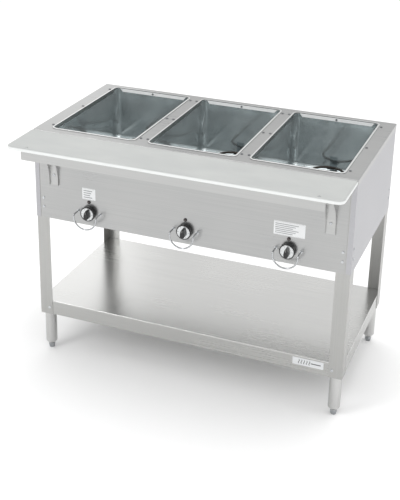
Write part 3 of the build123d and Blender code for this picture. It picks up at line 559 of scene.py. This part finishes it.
def dial_marks(side):
    """Printed ticks and numbers round the dial, and the rolled edge that holds the dial plate."""
    low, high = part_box("knob_dial_" + side)
    centre = Vector(((low.x + high.x) / 2, low.y, (low.z + high.z) / 2))
    width, thickness, length = (size * MM for size in TICK_SIZE)
    tick = plate_on_front(width, length, thickness, (0, 0, TICK_RADIUS * MM), TICK_CORNER)
    marks = []
    for step in range(DIAL_STEPS + 1):
        angle = math.radians(-DIAL_SWEEP / 2 + DIAL_SWEEP * step / DIAL_STEPS)
        turn = Matrix.Rotation(angle, 4, "Y")
        marks.append(copy_at(tick, Matrix.Translation(centre) @ turn))
        if step % NUMBER_EVERY == 0 and step > 0:
            clear_selection()
            bpy.ops.object.text_add()
            number = bpy.context.object
            number.data.body = str(step)
            number.data.size = NUMBER_SIZE * MM
            number.data.align_x = number.data.align_y = "CENTER"
            number.data.extrude = thickness / 2
            number.data.resolution_u = 4
            clear_selection()
            number.select_set(True)
            bpy.context.view_layer.objects.active = number
            bpy.ops.object.convert(target="MESH")
            out = turn @ Vector((0, -thickness / 2, NUMBER_RADIUS * MM))
            place = Matrix.Translation(centre + out) @ turn @ Matrix.Rotation(math.pi / 2, 4, "X")
            number.data.transform(place)
            marks.append(number)
    bpy.data.objects.remove(tick)
    printed = joined(marks, "dial_numbers_" + side)
    finished(printed, DIAL_INK, "control_" + side)

    clear_selection()
    bpy.ops.mesh.primitive_torus_add(major_radius=ROLLED_RADIUS * MM, minor_radius=ROLLED_WIRE * MM,
                                     major_segments=72, minor_segments=10, location=centre,
                                     rotation=(math.pi / 2, 0, 0))
    ring = settle(bpy.context.object, "dial_rolled_edge_" + side)
    edit(ring, lambda: bpy.ops.transform.resize(value=(1, ROLLED_FLATNESS, 1), center_override=centre))
    finished(ring, FINISHES["bright_dial"], "control_" + side, 80)


def knob_grip_line(side):
    """A fine raised line down the nose of the grip, which shows where the knob points."""
    low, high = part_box("knob_" + side)
    middle = ((low.x + high.x) / 2, low.y + POINTER_SUNK * MM, (low.z + high.z) / 2 + POINTER_OUT * MM)
    width, length, thickness = (size * MM for size in POINTER_SIZE)
    line = plate_on_front(width, length, thickness, middle, POINTER_CORNER)
    line.name = line.data.name = "knob_pointer_line_" + side
    finished(line, PAINT_GREY, "control_" + side)


def pilot_lens(side):
    """A smoked lens that stands out of each pilot light's bezel."""
    low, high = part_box("knob_dial_" + side)
    lights_low, lights_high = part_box("pilot_lights")
    middle = ((low.x + high.x) / 2, lights_low.y, (lights_low.z + lights_high.z) / 2)
    lens = turned_button(middle, LENS_RADIUS * MM, LENS_PROUD * MM, LENS_ROUND)
    lens.name = lens.data.name = "pilot_lens_" + side
    finished(lens, PILOT_LENS, "cabinet")


# ---------------------------------------------------------------- labels
INK_FILM = 0.06             # millimetres, as all sizes below
RULE_THICK, RULE_INSET = 0.5, 2.0
ROWS_INSET, TEXT_INSET = 6.0, 5.0   # rows from a label's top, and from its sides
ROWS_ROOM = 10.0            # height kept clear of rows
ROW_FILL = 0.42             # of the space between rows
LONGEST_ROW, SHORTER_BY = 0.82, 0.1 # of the room between the sides
RULE_CORNER, ROW_CORNER = 0.2, 0.3


def label_print(name, centre_x, face_y, top, size, rows):
    """Generic printing for a label: a rule above and below, and rows of plain bars, no words."""
    width, height = size

    def bar(length, thick, x, down, corner):
        return plate_on_front(length * MM, thick * MM, INK_FILM * MM, (x, face_y, top - down * MM), corner)

    ruled = width - 2 * RULE_INSET
    bars = [bar(ruled, RULE_THICK, centre_x, down, RULE_CORNER) for down in (RULE_INSET, height - RULE_INSET)]
    room, pitch = width - 2 * TEXT_INSET, (height - ROWS_ROOM) / rows
    start = centre_x - room / 2 * MM
    for row in range(rows):
        length = room * (LONGEST_ROW - SHORTER_BY * (row % 3))
        down = ROWS_INSET + pitch * (row + 0.5)
        bars.append(bar(length, pitch * ROW_FILL, start + length / 2 * MM, down, ROW_CORNER))
    finished(joined(bars, name), LABEL_INK, "cabinet")


NOTICE, PLATE = (50, 42), (104, 48) # the small and the large panel label
NOTICE_ROWS, PLATE_ROWS = 4, 6

WAVES, WAVE_START, WAVE_PITCH = 5, 22.0, 9.0
WAVE_SIZE = (2.2, 0.2, 15.0)        # width, thickness, length
WAVE_CUTS, WAVE_SWING = 11, 1.6
BADGE_BAR = (34.0, 3.2, 0.2)        # length, height, thickness
BADGE_BAR_INSET, BADGE_BAR_CORNER = 26.0, 1.2


def badge_waves():
    """Five wavy strokes and a bar: a plain sign for steam on the shelf's badge."""
    low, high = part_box("shelf_badge")
    middle_z = (low.z + high.z) / 2
    width, thickness, length = (size * MM for size in WAVE_SIZE)
    clear_selection()
    bpy.ops.mesh.primitive_cube_add(size=1, location=(0, -thickness / 2, 0), scale=(width, thickness, length))
    stroke = settle(bpy.context.object, "stroke")
    edit(stroke, lambda: bpy.ops.mesh.subdivide(number_cuts=WAVE_CUTS))
    for row in range(WAVE_CUTS + 2):
        height = length * (row / (WAVE_CUTS + 1) - 0.5)
        pick(stroke, "VERT", lambda at: abs(at.z - height) < TOUCH)
        swing = WAVE_SWING * MM * math.sin(height / length * 2 * math.pi)
        bpy.ops.transform.translate(value=(swing, 0, 0))
        bpy.ops.object.mode_set(mode="OBJECT")
    strokes = []
    for i in range(WAVES):
        place = (low.x + (WAVE_START + WAVE_PITCH * i) * MM, low.y, middle_z)
        strokes.append(copy_at(stroke, Matrix.Translation(place)))
    bpy.data.objects.remove(stroke)
    bar_middle = (high.x - BADGE_BAR_INSET * MM, low.y, middle_z)
    strokes.append(plate_on_front(*(size * MM for size in BADGE_BAR), bar_middle, BADGE_BAR_CORNER))
    finished(joined(strokes, "badge_waves"), BADGE_INK, "cabinet")


# ---------------------------------------------------------------- floor, light and camera
FLOOR_SIZE = 60             # metres
ROOM_BRIGHTNESS = 1.15


def studio():
    """Pale floor, a bright room and five soft lamps."""
    clear_selection()
    bpy.ops.mesh.primitive_plane_add(size=FLOOR_SIZE, location=(0, 0, 0))
    floor = bpy.context.object
    floor.name = "studio_floor"
    material, tree = new_material("studio_floor_paper")
    surface(tree, {"Base Color": between(tree, noise(tree, (900, 900, 900), 2.0), "#F6F6F6", "#FAFAFA"),
                   "Roughness": 0.9})
    floor.data.materials.append(material)

    world = bpy.data.worlds.new("studio_room")
    world.use_nodes = True
    tree = world.node_tree
    way = add_node(tree, "TexCoord").outputs["Generated"]
    up = add_node(tree, "SeparateXYZ", {"Vector": way}).outputs["Z"]
    sky = between(tree, spread(tree, up, 0.0, 1.0, 0.05, 0.75), "#CECECE", "#FFFFFF")
    room = tree.nodes["Background"]
    tree.links.new(sky, room.inputs["Color"])
    room.inputs["Strength"].default_value = ROOM_BRIGHTNESS
    bpy.context.scene.world = world

    lamps = {   # place, what it looks at, size, watts
        "key_softbox": ((-2.6, -3.6, 3.4), (0, 0, 0.5), 1.6, 50),
        "top_softbox": ((0.3, 0.6, 4.2), (0, 0, 0.5), 3.0, 45),
        "side_softbox": ((4.2, 0.2, 2.0), (0, 0, 0.5), 2.2, 14),
        "front_softbox": ((1.7, -2.2, 0.6), (1.0, -0.2, 0.6), 0.8, 4.5),
        "rear_softbox": ((-2.9, 4.2, 2.4), (-0.5, 0, 0.86), 1.3, 3.5),
    }
    for name, (place, target, size, watts) in lamps.items():
        data = bpy.data.lights.new(name, "AREA")
        data.size = size
        data.energy = watts
        lamp = bpy.data.objects.new(name, data)
        lamp.location = place
        lamp.rotation_euler = (Vector(target) - Vector(place)).to_track_quat("-Z", "Y").to_euler()
        bpy.context.scene.collection.objects.link(lamp)
    bpy.context.scene.view_settings.view_transform = "Standard"


def camera():
    """A 75 mm lens a little above the counter, to the right of the middle, looking down along the unit."""
    place = Vector((1.1635, -3.1151, 2.069))
    azimuth, elevation, roll = math.radians(22.08), math.radians(21.65), math.radians(0.78)
    data = bpy.data.cameras.new("studio_camera")
    data.sensor_width = 36
    data.lens = 75.4
    data.shift_x, data.shift_y = 0.04, -0.17
    data.clip_end = 100
    eye = bpy.data.objects.new("studio_camera", data)
    look = Vector((-math.sin(azimuth) * math.cos(elevation), math.cos(azimuth) * math.cos(elevation),
                   -math.sin(elevation)))
    eye.rotation_mode = "QUATERNION"
    eye.rotation_quaternion = look.to_track_quat("-Z", "Y") @ Euler((0, 0, roll)).to_quaternion()
    eye.location = place
    bpy.context.scene.collection.objects.link(eye)
    bpy.context.scene.camera = eye


for side in SIDES:
    dial_marks(side)
    knob_grip_line(side)
    pilot_lens(side)
label_low, label_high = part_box("rating_labels")
left_middle = label_low.x + NOTICE[0] / 2 * MM
right_middle = label_high.x - PLATE[0] / 2 * MM
notice_top = label_low.z + NOTICE[1] * MM
label_print("label_print_left", left_middle, label_low.y, notice_top, NOTICE, NOTICE_ROWS)
label_print("label_print_right", right_middle, label_low.y, label_high.z, PLATE, PLATE_ROWS)
badge_waves()
studio()
camera()
